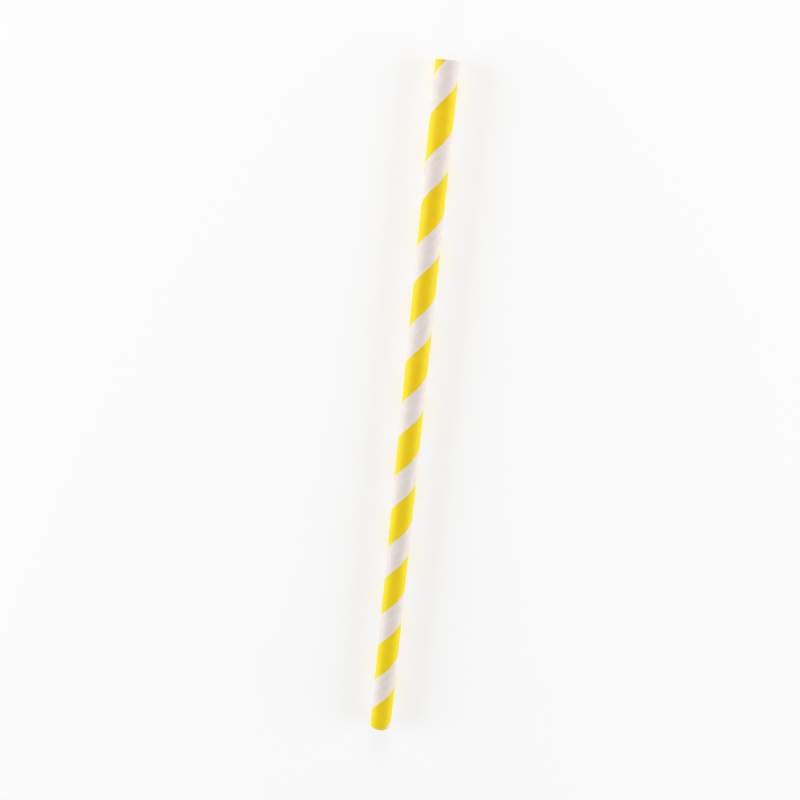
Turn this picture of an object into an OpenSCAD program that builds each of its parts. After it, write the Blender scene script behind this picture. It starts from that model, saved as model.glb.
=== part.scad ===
// Paper drinking straw: a straight tube wound from glued strips of paper, with a printed spiral stripe.
// It lies along X on the plane z = 0, with the middle of its length over the origin.

/* [Tube] */
// Length between the two cut ends
tube_length = 197; // [60:1:260]
// Diameter over the outer ply
tube_d = 6.3; // [5:0.1:12]

/* [Paper] */
// Thickness of the printed outer ply
outer_ply = 0.08; // [0.06:0.01:0.12]
// Thickness of one plain inner ply with its glue
inner_ply = 0.16; // [0.1:0.01:0.2]
// Number of plain inner plies
inner_plies = 2; // [1:1:4]

/* [Stripes] */
// Travel along the tube in one right-handed turn of the stripes
lead = 22.1; // [16:0.1:40]
// Length of the yellow stripe, measured along the tube
yellow_length = 12; // [4:0.1:15]
// White paper between the +X end and the first yellow stripe, along the top line
first_white = 9.8; // [0:0.1:20]

/* [Hidden] */
$fn = 96;

paper_white = [0.94, 0.91, 0.91];
stripe_yellow = [0.98, 0.84, 0.13];

tube_r = tube_d / 2;
wall = outer_ply + inner_plies * inner_ply;
bore_r = tube_r - wall;

// How far a cutting shape runs past the face that it cuts
cut_past = 0.1;

// Corners of the stripe's cutting shape lie this many times further out than the tube's surface
corner_reach = 1.25;
degrees_per_corner = 60;
steps_per_turn = 24;

// Direction of the top line about the tube's own axis, before the tube is laid down
top_angle = 180;
yellow_angle = 360 * yellow_length / lead;
start_angle = top_angle - 360 * (tube_length + cut_past - first_white) / lead;

stripe_run = tube_length + 2 * cut_past;
stripe_turns = stripe_run / lead;

function on_circle(radius, angle) = radius * [cos(angle), sin(angle)];

// Tube wall standing on its end, with its axis on Z
module wound_wall() {
    difference() {
        cylinder(r = tube_r, h = tube_length);
        translate([0, 0, -cut_past])
            cylinder(r = bore_r, h = tube_length + 2 * cut_past);
    }
}

// Slice of a pie that holds the yellow part of the wall at one height
module yellow_slice() {
    sides = ceil(yellow_angle / degrees_per_corner);
    arc = [for (i = [0:sides]) on_circle(corner_reach * tube_r, yellow_angle * i / sides)];
    polygon(concat([[0, 0]], arc));
}

// The slice climbs the tube like a right-handed thread
module yellow_space() {
    translate([0, 0, -cut_past])
        rotate([0, 0, start_angle])
            linear_extrude(
                height = stripe_run, twist = -360 * stripe_turns,
                slices = ceil(stripe_turns * steps_per_turn), segments = 4, $fn = 4
            )
                yellow_slice();
}

// One wall of wound paper, shown in the two colours of its print
module straw_tube() {
    translate([-tube_length / 2, 0, tube_r])
        rotate([0, 90, 0]) {
            color(paper_white)
                difference() {
                    wound_wall();
                    yellow_space();
                }
            color(stripe_yellow)
                intersection() {
                    wound_wall();
                    yellow_space();
                }
        }
}

straw_tube();
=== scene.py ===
import math

import bpy
from mathutils import Matrix, Vector


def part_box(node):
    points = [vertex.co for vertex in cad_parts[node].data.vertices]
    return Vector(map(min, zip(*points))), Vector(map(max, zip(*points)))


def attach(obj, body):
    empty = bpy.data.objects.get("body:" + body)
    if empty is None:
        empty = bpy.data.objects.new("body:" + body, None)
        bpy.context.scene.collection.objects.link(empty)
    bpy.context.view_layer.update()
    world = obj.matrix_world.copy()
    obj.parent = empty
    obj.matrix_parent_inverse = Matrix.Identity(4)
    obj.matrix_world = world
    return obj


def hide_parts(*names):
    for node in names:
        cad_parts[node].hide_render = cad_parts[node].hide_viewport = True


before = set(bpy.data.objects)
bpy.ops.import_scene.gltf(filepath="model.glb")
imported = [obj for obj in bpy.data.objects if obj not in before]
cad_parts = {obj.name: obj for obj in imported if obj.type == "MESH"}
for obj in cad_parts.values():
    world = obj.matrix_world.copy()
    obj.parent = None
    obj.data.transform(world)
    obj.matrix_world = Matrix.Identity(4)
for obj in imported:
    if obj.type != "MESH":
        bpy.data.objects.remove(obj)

mm = 0.001
turn = 2 * math.pi
topLine = 0.25  # of a turn, from +Y to the top of the lying straw
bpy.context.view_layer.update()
print("frame loaded:", ", ".join(sorted(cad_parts)))


# Nodes and formulas, for geometry and shader trees alike

def feed(tree, slot, value):  # a number, a colour or another socket
    if isinstance(value, Field):
        value = value.socket
    if isinstance(value, bpy.types.NodeSocket):
        tree.links.new(value, slot)
    elif value is not None:
        slot.default_value = value


def addNode(tree, kind, sockets=None, **settings):
    made = tree.nodes.new(kind)
    for name, value in settings.items():
        setattr(made, name, value)
    for name, value in (sockets or {}).items():
        feed(tree, made.inputs[name], value)
    return made


def calc(tree, operation, *values):
    made = addNode(tree, "ShaderNodeMath", operation=operation)
    for slot, value in zip(made.inputs, values):
        feed(tree, slot, value)
    return Field(tree, made.outputs[0])


class Field:  # a socket that can stand in a plain formula
    def __init__(self, tree, socket):
        self.tree, self.socket = tree, socket

    def __add__(self, other):
        return calc(self.tree, "ADD", self, other)

    def __sub__(self, other):
        return calc(self.tree, "SUBTRACT", self, other)

    def __rsub__(self, other):
        return calc(self.tree, "SUBTRACT", other, self)

    def __mul__(self, other):
        return calc(self.tree, "MULTIPLY", self, other)

    def __truediv__(self, other):
        return calc(self.tree, "DIVIDE", self, other)

    __radd__ = __add__
    __rmul__ = __mul__

    def apply(self, operation, *others):
        return calc(self.tree, operation, self, *others)


def fade(value, start, end, low=0.0, high=1.0):  # low at start, high at end, soft between them
    sockets = {"Value": value, "From Min": start, "From Max": end, "To Min": low, "To Max": high}
    made = addNode(value.tree, "ShaderNodeMapRange", sockets, interpolation_type="SMOOTHSTEP")
    return Field(value.tree, made.outputs["Result"])


def fromNearest(turns):  # how far a count of turns is from the nearest whole one
    return ((turns + 0.5).apply("FRACT") - 0.5).apply("ABSOLUTE")


def joinXyz(tree, x, y, z):
    return addNode(tree, "ShaderNodeCombineXYZ", {"X": x, "Y": y, "Z": z}).outputs[0]


def splitXyz(tree, vector):
    made = addNode(tree, "ShaderNodeSeparateXYZ", {0: vector})
    return [Field(tree, slot) for slot in made.outputs]


def noise(tree, place, scale, detail, roughness, distortion=0.0):
    made = addNode(tree, "ShaderNodeTexNoise", {
        "Vector": place, "Scale": scale, "Detail": detail, "Roughness": roughness, "Distortion": distortion,
    }, noise_dimensions="3D")
    return Field(tree, made.outputs[0])


def mixColour(tree, factor, first, second):
    made = addNode(tree, "ShaderNodeMix", data_type="RGBA")
    for index, value in ((0, factor), (6, first), (7, second)):
        feed(tree, made.inputs[index], value)
    return made.outputs[2]


def liveSlots(slots):  # those that the node's kind of data uses
    return [slot for slot in slots if slot.enabled]


# The straw, wound from paper strips along a right-handed helix

boxLow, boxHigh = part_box("straw_tube")

strawTube = {
    "Length": boxHigh.x - boxLow.x,
    "Diameter": boxHigh.z - boxLow.z,
    "Outer Ply": 0.08 * mm,
    "Inner Ply": 0.16 * mm,
    "Lead": 22.1 * mm,
    "Seam Below End": 3.76 * mm,  # along the top line, from the +X end
    "Seam Gap": 0.0030,  # share of the strip's width, as are the two below
    "Seam Wall": 0.0020,
    "Lip Width": 0.0045,
    "Lip Height": 0.030 * mm,
    "Seam Depth": 0.030 * mm,
    "Bore Gap": 0.0105,  # share of the strip's width
    "Bore Gap Edge": 0.001,
    "Bore Gap Depth": 0.09 * mm,
    "Crowding": 0.93,  # how far the columns crowd towards the two seams
    "Edge Round": 0.035 * mm,
    "Edge Share": 0.10,  # share of the wall that rounds off at each side of a cut
    "Ply Dip": 0.022 * mm,
    "Ply Dip Width": 0.03 * mm,
    "Cut Roughness": 0.014 * mm,
    "Fray Around": 9.0,  # size of the noise's path round the cut, across it and from end to end
    "Fray Across": 2.2,
    "Fray Apart": 5.0,
    "Fray Scale": 2.4,
    "Fray Detail": 3.0,
    "Fray Fineness": 0.62,
    "Weld Distance": 0.001 * mm,
    "Smooth Angle": math.radians(35),
    "Columns": 120,
    "Outer Rows": 480,
    "Bore Rows": 282,
    "Cut Rows": 24,
}
strawCounts = ("Columns", "Outer Rows", "Bore Rows", "Cut Rows")
outerWall, boreWall, cutEnd = 0, 1, 2

bakeMap = {  # bands of the unrolled paper in the square map: first edge, height and number of lengths
    "outer": (0.006, 0.640, 3),
    "bore": (0.662, 0.240, 3),
    "topCut": (0.914, 0.034, 1),
    "bottomCut": (0.956, 0.034, 1),
    "gap": 0.008,
}


def storeOn(tree, mesh, name, kind, domain, value):
    made = addNode(tree, "GeometryNodeStoreNamedAttribute", data_type=kind, domain=domain)
    made.inputs["Name"].default_value = name
    feed(tree, made.inputs["Geometry"], mesh)
    feed(tree, [slot for slot in liveSlots(made.inputs) if slot.name == "Value"][0], value)
    return made.outputs["Geometry"]


def ofFace(tree, value):  # a corner's value taken from the middle of its face
    made = addNode(tree, "GeometryNodeFieldOnDomain", data_type="FLOAT", domain="FACE")
    feed(tree, liveSlots(made.inputs)[0], value)
    return Field(tree, liveSlots(made.outputs)[0])


def paperPatch(tree, sizes, rows, side, band, flip, shape):
    grid = addNode(tree, "GeometryNodeMeshGrid", {
        "Size X": 1.0, "Size Y": 1.0, "Vertices X": sizes["Columns"] + 1, "Vertices Y": rows + 1,
    })
    x, y, _ = splitXyz(tree, addNode(tree, "GeometryNodeInputPosition").outputs[0])
    across, down = x + 0.5, y + 0.5

    # columns follow the strips and crowd at the outer seam and, half a strip on, at the bore's
    wave = (across * (2 * turn)).apply("SINE") * sizes["Crowding"] / (2 * turn)
    strip = across - wave
    along, radius = shape(down, strip)
    seam = (sizes["Length"] / 2 - sizes["Seam Below End"]) / sizes["Lead"] - topLine
    angle = (along / sizes["Lead"] - seam - strip) * turn
    height = radius * angle.apply("SINE") + sizes["Diameter"] / 2
    place = joinXyz(tree, along, radius * angle.apply("COSINE"), height)

    # maps go on the corners before the shape bends round and closes
    bandStart, bandHeight, lengths = band
    share = down if side != cutEnd else across
    depth = strip if side != cutEnd else down
    piece = (ofFace(tree, share) * lengths).apply("FLOOR")
    pitch = bandHeight / lengths
    gap = bakeMap["gap"]
    bakeAlong = gap + (share * lengths - piece) * (1 - 2 * gap)
    bakeAcross = bandStart + piece * pitch + depth * (pitch - gap)
    girth = sizes["Diameter"] * math.pi
    slope = (girth * girth + sizes["Lead"] * sizes["Lead"]).apply("SQRT")
    layAlong = along * slope / sizes["Lead"] - strip * girth * girth / slope
    layAcross = strip * girth * sizes["Lead"] / slope
    mesh = grid.outputs["Mesh"]
    for name, first, second in (("OFBake", bakeAlong, bakeAcross), ("stripLay", layAlong, layAcross)):
        mesh = storeOn(tree, mesh, name, "FLOAT2", "CORNER", joinXyz(tree, first, second, 0.0))
    mesh = storeOn(tree, mesh, "paperSide", "INT", "FACE", side)
    mesh = addNode(tree, "GeometryNodeSetPosition", {"Geometry": mesh, "Position": place}).outputs[0]
    if flip:
        mesh = addNode(tree, "GeometryNodeFlipFaces", {"Mesh": mesh}).outputs[0]
    return mesh


def buildTubeTree(papers):
    tree = bpy.data.node_groups.new("woundPaperTube", "GeometryNodeTree")
    tree.is_modifier = True
    face = tree.interface
    face.new_socket("Geometry", in_out="INPUT", socket_type="NodeSocketGeometry")
    face.new_socket("Geometry", in_out="OUTPUT", socket_type="NodeSocketGeometry")
    for name in strawTube:
        kind = "NodeSocketInt" if name in strawCounts else "NodeSocketFloat"
        face.new_socket(name, in_out="INPUT", socket_type=kind)
    entry = tree.nodes.new("NodeGroupInput")
    sizes = {name: Field(tree, entry.outputs[name]) for name in strawTube}

    outer = sizes["Diameter"] / 2
    wall = sizes["Outer Ply"] + sizes["Inner Ply"] * 2
    bore = outer - wall
    halfLength = sizes["Length"] / 2

    def outerRadius(strip):  # the outer ply's two edges meet with lifted lips, and a fine gap between them
        off = fromNearest(strip)
        gapEdge = sizes["Seam Gap"] / 2
        lipTop = gapEdge + sizes["Seam Wall"]
        opened = fade(off, gapEdge, lipTop, 1.0, 0.0)
        lip = fade(off, lipTop, lipTop + sizes["Lip Width"], 1.0, 0.0)
        return outer + lip * sizes["Lip Height"] - opened * (sizes["Seam Depth"] + sizes["Lip Height"])

    def boreRadius(strip):  # the innermost ply's gap lies half a strip further on
        off = (strip - 0.5).apply("ABSOLUTE")
        half, edge = sizes["Bore Gap"] / 2, sizes["Bore Gap Edge"]
        return bore + fade(off, half - edge, half + edge, 1.0, 0.0) * sizes["Bore Gap Depth"]

    def cutFace(end):
        def shape(down, strip):
            outside = outerRadius(strip)
            radius = outside + (boreRadius(strip) - outside) * down
            depth = outer - radius
            dips = 0.0
            for line in (sizes["Outer Ply"], sizes["Outer Ply"] + sizes["Inner Ply"]):
                dips = fade((depth - line).apply("ABSOLUTE"), 0.0, sizes["Ply Dip Width"], 1.0, 0.0) + dips
            edge = fade((down - 0.5).apply("ABSOLUTE"), 0.5 - sizes["Edge Share"], 0.5)
            path = joinXyz(
                tree, (strip * turn).apply("COSINE") * sizes["Fray Around"],
                (strip * turn).apply("SINE") * sizes["Fray Around"],
                down * sizes["Fray Across"] + sizes["Fray Apart"] * end,
            )
            frayed = noise(tree, path, sizes["Fray Scale"], sizes["Fray Detail"], sizes["Fray Fineness"])
            lift = (frayed - 0.5) * 2 * sizes["Cut Roughness"] * (1 - edge)
            reach = halfLength - dips * sizes["Ply Dip"] - edge * sizes["Edge Round"] + lift
            return reach * end, radius
        return shape

    def wallFace(radiusAt):
        reach = sizes["Length"] - sizes["Edge Round"] * 2
        return lambda down, strip: ((down - 0.5) * reach, radiusAt(strip))

    joined = tree.nodes.new("GeometryNodeJoinGeometry")
    for rows, side, band, flip, shape in (
        ("Outer Rows", outerWall, "outer", True, wallFace(outerRadius)),
        ("Bore Rows", boreWall, "bore", False, wallFace(boreRadius)),
        ("Cut Rows", cutEnd, "topCut", True, cutFace(1.0)),
        ("Cut Rows", cutEnd, "bottomCut", False, cutFace(-1.0)),
    ):
        patch = paperPatch(tree, sizes, sizes[rows], side, bakeMap[band], flip, shape)
        tree.links.new(patch, joined.inputs[0])
    mesh = addNode(tree, "GeometryNodeMergeByDistance", {
        "Geometry": joined.outputs[0], "Distance": sizes["Weld Distance"],
    }).outputs[0]
    bend = addNode(tree, "GeometryNodeInputMeshEdgeAngle").outputs["Unsigned Angle"]
    smoothEdge = calc(tree, "LESS_THAN", bend, sizes["Smooth Angle"])
    for domain, smooth in (("FACE", True), ("EDGE", smoothEdge)):
        sockets = {"Geometry": mesh, "Shade Smooth": smooth}
        mesh = addNode(tree, "GeometryNodeSetShadeSmooth", sockets, domain=domain).outputs[0]
    mesh = addNode(tree, "GeometryNodeRealizeInstances", {"Geometry": mesh}).outputs[0]
    stored = addNode(tree, "GeometryNodeInputNamedAttribute", {"Name": "paperSide"}, data_type="INT")
    sideOf = Field(tree, liveSlots(stored.outputs)[0])
    for side, paper in papers.items():
        chosen = calc(tree, "COMPARE", sideOf, side, 0.5)
        mesh = addNode(tree, "GeometryNodeSetMaterial", {
            "Geometry": mesh, "Selection": chosen, "Material": paper,
        }).outputs[0]
    leave = tree.nodes.new("NodeGroupOutput")
    tree.links.new(mesh, leave.inputs[0])
    return tree


def bakedMesh(name, tree, values):  # runs the tree once and keeps only its mesh
    start = bpy.data.objects.new(name + "_start", bpy.data.meshes.new(name + "_start"))
    bpy.context.scene.collection.objects.link(start)
    step = start.modifiers.new("wind", "NODES")
    step.node_group = tree
    for item in tree.interface.items_tree:
        if item.in_out == "INPUT" and item.name in values:
            step[item.identifier] = values[item.name]
    graph = bpy.context.evaluated_depsgraph_get()
    graph.update()
    mesh = bpy.data.meshes.new_from_object(start.evaluated_get(graph), depsgraph=graph)
    bpy.data.objects.remove(start)
    mesh.materials.pop(index=0)  # the empty slot that the grids bring
    mesh.name = name
    return mesh


# Paper and ink

printedPaper = {
    "white": (0.870, 0.790, 0.740, 1.0),
    "whiteThin": (0.830, 0.744, 0.695, 1.0),  # where the sheet's fibres lie thinner
    "yellow": (0.950, 0.654, 0.010, 1.0),
    "yellowThin": (0.920, 0.602, 0.009, 1.0),
    "yellowFlankLight": (0.918, 0.742, 0.012, 1.0),  # painted flank light: a lighter lemon yellow seen at a low angle, towards the flanks where the light falls brighter
    "flankLightFrom": -0.1,  # values of Facing between which that colour comes in
    "lowBy": 0.5,
    "seamEdgeAndHighlight": (0.893, 0.820, 0.772, 1.0),  # the strip's bare edges, lighter partly as painted highlight where the lifted lips catch the light
    "seamWidth": 0.034,  # share of the strip's width
    "seamSoft": (0.25, 0.75),  # shares of that width between which the line fades
    "whiteBelowEnd": 9.8 * mm,  # white along the top line before the first yellow
    "yellowLength": 12.0 * mm,
    "edgeBlur": 0.0016,  # share of a lead
    "edgeWander": 0.0022,
    "wanderNoise": (2600.0, 2.0, 0.5),  # scale, detail and roughness
    "cloudShare": 0.6,  # of the clouds in the thinness, beside the fibres
    "thinFrom": 0.36,
    "thinBy": 0.66,
    "inkRough": 0.52,
    "rough": 0.60,
    "roughSpread": 0.12,
    "shine": 0.15,
    "sheen": 0.02,
    "sheenRough": 0.45,
    "relief": 0.35,
    "reliefDepth": 0.012 * mm,
}
plainPaper = {
    "near": (0.78, 0.71, 0.64, 1.0),
    "thin": (0.70, 0.62, 0.55, 1.0),
    "cloudSize": 1.8 * mm,
    "cloudShare": 0.5,
    "thinFrom": 0.34,
    "thinBy": 0.68,
    "rough": 0.68,
    "roughSpread": 0.15,
    "shine": 0.2,
    "relief": 0.5,
    "reliefDepth": 0.016 * mm,
}
cutPaper = {
    "near": (0.90, 0.86, 0.82, 1.0),
    "glue": (0.66, 0.60, 0.53, 1.0),
    "glueFrom": 0.004 * mm,  # the line of glue fades between these two distances
    "glueBy": 0.022 * mm,
    "glueShare": 0.7,
    "cloudShare": 0.3,
    "thinFrom": 0.4,
    "thinBy": 0.7,
    "fibreLength": 0.12 * mm,
    "fibreWidth": 0.05 * mm,
    "cloudSize": 0.5 * mm,
    "rough": 0.8,
    "roughSpread": 0.2,
    "shine": 0.15,
    "relief": 0.6,
    "reliefDepth": 0.014 * mm,
}
fibreInputs = {"Fibre Length": 1.1 * mm, "Fibre Width": 0.09 * mm, "Cloud Size": 2.6 * mm}
fibreOutputs = ("Fibre", "Cloud", "Relief")
fibreMix = {
    "fibre": (1.0, 3.0, 0.6, 0.35),  # scale, detail, roughness and distortion
    "crossing": (1.0, 2.0, 0.55, 0.5),
    "cloud": (1.0, 2.0, 0.5),
    "crossingShift": 7.0,
    "crossingShare": 0.35,
    "reliefOf": (0.6, 0.25, 0.6),  # of the fibre, the crossing and the cloud
}


def buildFibreGroup():
    tree = bpy.data.node_groups.new("paperFibre", "ShaderNodeTree")
    face = tree.interface
    face.new_socket("Lay", in_out="INPUT", socket_type="NodeSocketVector")
    for name, value in fibreInputs.items():
        face.new_socket(name, in_out="INPUT", socket_type="NodeSocketFloat").default_value = value
    for name in fibreOutputs:
        face.new_socket(name, in_out="OUTPUT", socket_type="NodeSocketFloat")
    entry = tree.nodes.new("NodeGroupInput")
    leave = tree.nodes.new("NodeGroupOutput")
    x, y, z = splitXyz(tree, entry.outputs["Lay"])
    length, width, cloudSize = (Field(tree, entry.outputs[name]) for name in fibreInputs)

    fibre = noise(tree, joinXyz(tree, x / length, y / width, z / width), *fibreMix["fibre"])
    crossed = joinXyz(tree, x / width + fibreMix["crossingShift"], y / length * 2, z / length * 2)
    crossing = noise(tree, crossed, *fibreMix["crossing"])
    cloud = noise(tree, joinXyz(tree, x / cloudSize, y / cloudSize, z / cloudSize), *fibreMix["cloud"])
    share = fibreMix["crossingShare"]
    ofFibre, ofCrossing, ofCloud = fibreMix["reliefOf"]
    relief = fibre * ofFibre + crossing * ofCrossing + cloud * ofCloud
    for name, value in zip(fibreOutputs, (fibre * (1 - share) + crossing * share, cloud, relief)):
        feed(tree, leave.inputs[name], value)
    return tree


def startMaterial(name):
    made = bpy.data.materials.new(name)
    made.use_nodes = True
    tree = made.node_tree
    tree.nodes.clear()
    shader = addNode(tree, "ShaderNodeBsdfPrincipled")
    leave = tree.nodes.new("ShaderNodeOutputMaterial")
    tree.links.new(shader.outputs[0], leave.inputs["Surface"])
    return made, tree, shader


def addFibre(tree, lay, group, **sizes):
    made = addNode(tree, "ShaderNodeGroup", node_tree=group)
    for name, value in {"Lay": lay, **sizes}.items():
        feed(tree, made.inputs[name.replace("_", " ")], value)
    return {name: Field(tree, made.outputs[name]) for name in fibreOutputs}


def thinness(fibre, look):
    share = look["cloudShare"]
    return fade(fibre["Cloud"] * share + fibre["Fibre"] * (1 - share), look["thinFrom"], look["thinBy"])


def dressPaper(tree, shader, look, fibre, colour, rough):
    feed(tree, shader.inputs["Base Color"], colour)
    feed(tree, shader.inputs["Roughness"], (fibre["Fibre"] - 0.5) * look["roughSpread"] + rough)
    shader.inputs["Specular IOR Level"].default_value = look["shine"]
    bump = addNode(tree, "ShaderNodeBump", {
        "Height": fibre["Relief"], "Strength": look["relief"], "Distance": look["reliefDepth"],
    })
    tree.links.new(bump.outputs[0], shader.inputs["Normal"])


def objectPlace(tree):
    return addNode(tree, "ShaderNodeTexCoord").outputs["Object"]


def readPlace(tree):  # along the straw, and the angle and distance from its axis
    along, side, up = splitXyz(tree, objectPlace(tree))
    up = up - strawTube["Diameter"] / 2
    distance = (side * side + up * up).apply("SQRT")
    return along, up.apply("ARCTAN2", side), distance


def fromHelix(along, angle, belowEnd):  # in leads, from the helix that crosses the top line there
    helix = (strawTube["Length"] / 2 - belowEnd) / strawTube["Lead"] - topLine
    return fromNearest(along / strawTube["Lead"] - angle / turn - helix)


def buildPrintedPaper(fibreGroup):
    look = printedPaper
    made, tree, shader = startMaterial("printedPaper")
    lay = addNode(tree, "ShaderNodeUVMap", uv_map="stripLay").outputs[0]
    fibre = addFibre(tree, lay, fibreGroup)
    along, angle, _ = readPlace(tree)

    # the ink ends half a stripe's length from the middle of the yellow
    wander = (noise(tree, lay, *look["wanderNoise"]) - 0.5) * look["edgeWander"]
    fromMiddle = fromHelix(along, angle, look["whiteBelowEnd"] + look["yellowLength"] / 2) + wander
    half = look["yellowLength"] / strawTube["Lead"] / 2
    ink = fade(fromMiddle, half - look["edgeBlur"], half + look["edgeBlur"], 1.0, 0.0)

    # the strip's edges are bare paper, and the light line along the seam is partly painted highlight of the
    # lifted lips
    fromSeam = fromHelix(along, angle, strawTube["Seam Below End"])
    clear, gone = (look["seamWidth"] * share for share in look["seamSoft"])
    bareAndLit = fade(fromSeam, clear, gone, 1.0, 0.0)
    thin = thinness(fibre, look)
    white = mixColour(tree, thin, look["white"], look["whiteThin"])
    white = mixColour(tree, bareAndLit, white, look["seamEdgeAndHighlight"])
    yellow = mixColour(tree, thin, look["yellow"], look["yellowThin"])
    # painted flank light: towards the flanks the yellow turns lighter and lemon, standing in for the
    # brighter light there
    facing = Field(tree, addNode(tree, "ShaderNodeLayerWeight", {"Blend": 0.5}).outputs["Facing"])
    yellow = mixColour(tree, fade(facing, look["flankLightFrom"], look["lowBy"]), yellow, look["yellowFlankLight"])
    rough = ink * (look["inkRough"] - look["rough"]) + look["rough"]
    dressPaper(tree, shader, look, fibre, mixColour(tree, ink, white, yellow), rough)
    shader.inputs["Sheen Weight"].default_value = look["sheen"]
    shader.inputs["Sheen Roughness"].default_value = look["sheenRough"]
    return made


def buildPlainPaper(fibreGroup):
    look = plainPaper
    made, tree, shader = startMaterial("plainPaper")
    lay = addNode(tree, "ShaderNodeUVMap", uv_map="stripLay").outputs[0]
    fibre = addFibre(tree, lay, fibreGroup, Cloud_Size=look["cloudSize"])
    colour = mixColour(tree, thinness(fibre, look), look["near"], look["thin"])
    dressPaper(tree, shader, look, fibre, colour, look["rough"])
    return made


def buildCutPaper(fibreGroup):
    look = cutPaper
    made, tree, shader = startMaterial("cutPaper")
    fibre = addFibre(
        tree, objectPlace(tree), fibreGroup, Fibre_Length=look["fibreLength"],
        Fibre_Width=look["fibreWidth"], Cloud_Size=look["cloudSize"],
    )
    depth = strawTube["Diameter"] / 2 - readPlace(tree)[2]
    glue = 0.0
    for line in (strawTube["Outer Ply"], strawTube["Outer Ply"] + strawTube["Inner Ply"]):
        glue = fade((depth - line).apply("ABSOLUTE"), look["glueFrom"], look["glueBy"], 1.0, 0.0) + glue
    cloud = fade(fibre["Cloud"], look["thinFrom"], look["thinBy"])
    shade = (glue * look["glueShare"] + cloud * look["cloudShare"]).apply("MINIMUM", 1.0)
    colour = mixColour(tree, shade, look["near"], look["glue"])
    dressPaper(tree, shader, look, fibre, colour, look["rough"])
    return made


fibreGroup = buildFibreGroup()
papers = {
    outerWall: buildPrintedPaper(fibreGroup),
    boreWall: buildPlainPaper(fibreGroup),
    cutEnd: buildCutPaper(fibreGroup),
}
print("papers ready:", ", ".join(paper.name for paper in papers.values()))

tubeMesh = bakedMesh("wound_straw", buildTubeTree(papers), strawTube)
straw = bpy.data.objects.new("wound_straw", tubeMesh)
bpy.context.scene.collection.objects.link(straw)
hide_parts("straw_tube")
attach(straw, "root")
print("straw wound:", len(tubeMesh.polygons), "faces")


# Floor, world and lamps

studio = {
    "floorSize": 6.0,
    "floorColour": (0.90, 0.90, 0.905),
    "floorSeen": 0.50,  # share of the lit floor that the camera sees
    "whiteAdded": 0.58,
    "whiteFrom": 0.22,  # further out than this the seen floor fades into the white around it
    "whiteBy": 0.50,
    "worldColour": (1.0, 1.0, 1.0, 1.0),
    "worldLight": 0.24,
    "sideTint": (0.965, 1.01, 1.03),
    "endTint": (1.08, 0.98, 0.95),
    "lamps": {  # place, point that it faces, width, height, watts and tint
        "leftPanel": ((0.02, 0.62, 0.20), (0.0, 0.0, 0.0), 0.62, 0.34, 3.35, "sideTint"),
        "rightPanel": ((0.02, -0.62, 0.20), (0.0, 0.0, 0.0), 0.62, 0.34, 3.05, "sideTint"),
        "topPanel": ((0.66, 0.0, 0.24), (0.09, 0.0, 0.0), 0.40, 0.30, 2.0, "endTint"),
        "bottomPanel": ((-0.66, 0.0, 0.30), (-0.09, 0.0, 0.0), 0.40, 0.30, 0.9, "endTint"),
    },
}


def seenWhite(tree):  # 1 on the rays that show the background itself
    rays = addNode(tree, "ShaderNodeLightPath").outputs
    direct = Field(tree, rays["Is Camera Ray"])
    return direct.apply("MAXIMUM", rays["Is Glossy Ray"]).apply("MAXIMUM", rays["Is Transmission Ray"])


def diffuse(tree, share):  # a share of the floor's colour
    colour = [part * share for part in studio["floorColour"]]
    return addNode(tree, "ShaderNodeBsdfDiffuse", {"Color": (*colour, 1.0)}).outputs[0]


def glow(tree, strength):
    return addNode(tree, "ShaderNodeEmission", {"Strength": strength}).outputs[0]


def mixShaders(tree, factor, first, second):
    return addNode(tree, "ShaderNodeMixShader", {0: factor, 1: first, 2: second}).outputs[0]


def buildFloor():
    half = studio["floorSize"] / 2
    corners = [(-half, -half, 0), (half, -half, 0), (half, half, 0), (-half, half, 0)]
    mesh = bpy.data.meshes.new("studio_floor")
    mesh.from_pydata(corners, [], [(0, 1, 2, 3)])
    floor = bpy.data.objects.new("studio_floor", mesh)
    bpy.context.scene.collection.objects.link(floor)
    made = bpy.data.materials.new("paleFloor")
    made.use_nodes = True
    tree = made.node_tree
    tree.nodes.clear()
    seenFloor = addNode(tree, "ShaderNodeAddShader", {
        0: diffuse(tree, studio["floorSeen"]), 1: glow(tree, studio["whiteAdded"]),
    }).outputs[0]
    spot = addNode(tree, "ShaderNodeVectorMath", {0: objectPlace(tree)}, operation="LENGTH")
    away = fade(Field(tree, spot.outputs["Value"]), studio["whiteFrom"], studio["whiteBy"])
    shown = mixShaders(tree, away, seenFloor, glow(tree, 1.0))
    both = mixShaders(tree, seenWhite(tree), diffuse(tree, 1.0), shown)
    leave = tree.nodes.new("ShaderNodeOutputMaterial")
    tree.links.new(both, leave.inputs["Surface"])
    mesh.materials.append(made)


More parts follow.
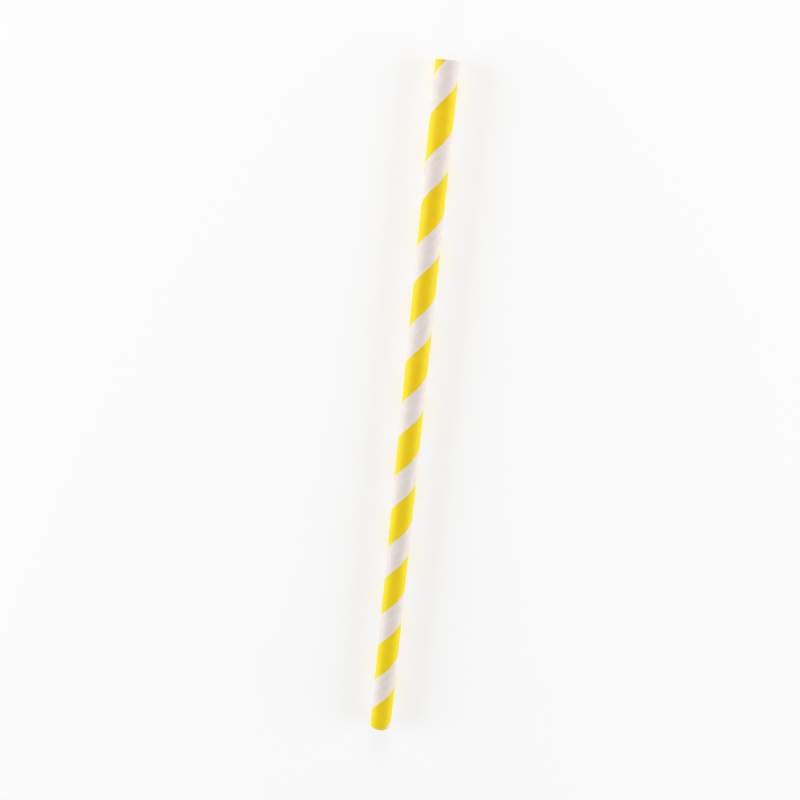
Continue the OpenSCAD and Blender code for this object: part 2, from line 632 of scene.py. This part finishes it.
def buildWorld():
    world = bpy.data.worlds.new("studioWorld")
    world.use_nodes = True
    tree = world.node_tree
    tree.nodes.clear()
    strength = seenWhite(tree) * (1 - studio["worldLight"]) + studio["worldLight"]
    back = addNode(tree, "ShaderNodeBackground", {"Color": studio["worldColour"], "Strength": strength})
    leave = tree.nodes.new("ShaderNodeOutputWorld")
    tree.links.new(back.outputs[0], leave.inputs["Surface"])
    bpy.context.scene.world = world


def buildLamps():
    for name, (place, aim, width, height, watts, tint) in studio["lamps"].items():
        data = bpy.data.lights.new(name, "AREA")
        data.shape = "RECTANGLE"
        data.size, data.size_y, data.energy = width, height, watts
        data.color = studio[tint]
        lamp = bpy.data.objects.new(name, data)
        bpy.context.scene.collection.objects.link(lamp)
        lamp.location = place
        lamp.rotation_euler = (Vector(aim) - Vector(place)).to_track_quat("-Z", "Y").to_euler()
        lamp.visible_camera = False


# Camera: it looks down on the lying straw as the photo looks at the leaning one

view = {
    "lens": 49.5,
    "sensor": 36.0,
    "nearClip": 0.01,
    "picture": 800,
    "topEnd": (447.75, 59.6),  # where the straw's upper line ends in the picture, in pixels
    "bottomEnd": (380.0, 730.3),
    "bottomDepth": 1.213,  # the bottom end's distance over the top end's
}


def sightLine(pixel):  # from the camera through a pixel, one unit deep
    middle = view["picture"] / 2
    focal = view["lens"] / view["sensor"] * view["picture"]
    return Vector(((pixel[0] - middle) / focal, (middle - pixel[1]) / focal, -1.0))


def buildCamera():
    data = bpy.data.cameras.new("photoView")
    data.lens, data.sensor_width, data.clip_start = view["lens"], view["sensor"], view["nearClip"]
    camera = bpy.data.objects.new("photoView", data)
    bpy.context.scene.collection.objects.link(camera)
    top, bottom = sightLine(view["topEnd"]), sightLine(view["bottomEnd"]) * view["bottomDepth"]
    scale = strawTube["Length"] / (top - bottom).length
    top, bottom = top * scale, bottom * scale
    axis = (top - bottom).normalized()
    halfway = (top + bottom) / 2
    away = halfway - axis * halfway.dot(axis)
    up = -away.normalized()
    camera.matrix_world = Matrix((axis, up.cross(axis), up)).to_4x4()
    camera.location = (-halfway.dot(axis), 0.0, strawTube["Diameter"] + away.length)
    bpy.context.scene.camera = camera


buildFloor()
buildWorld()
buildLamps()
buildCamera()
bpy.context.scene.view_settings.view_transform = "Standard"
print("studio ready")
